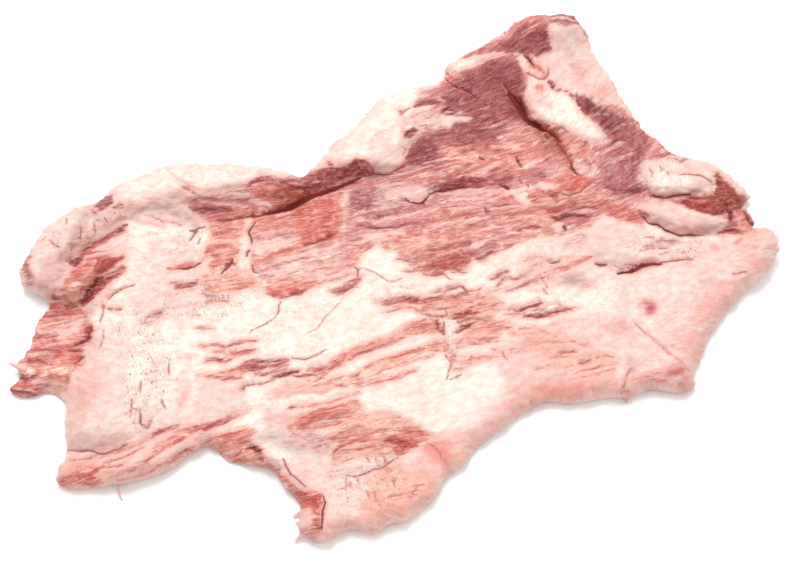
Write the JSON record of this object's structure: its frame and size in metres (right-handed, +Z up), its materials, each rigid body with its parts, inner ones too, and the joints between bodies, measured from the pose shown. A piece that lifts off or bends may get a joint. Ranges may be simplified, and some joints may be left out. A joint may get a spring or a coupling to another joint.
{
  "type": "pork secreto",
  "caption": "Raw pork secreto: a thin, fan-shaped slab of marbled meat lying flat, with a rolled far edge, a tall peak, fat pads and torn lower edges.",
  "frame": {"origin": "middle of the part's bounding box, on the face that it rests on", "axes": "+Z up, away from the resting face; +X along the slab's length, towards its curled corner; +Y across it, towards the tall peak"},
  "size_m": [0.3188, 0.2542, 0.0193],
  "materials": {
    "marbled_meat": "moist raw pork: ivory and pale pink fat over pink, salmon and dark maroon lean in long grain streaks, softly glossy"
  },
  "bodies": {
    "root": {"secreto": "marbled_meat"}
  },
  "joints": []
}
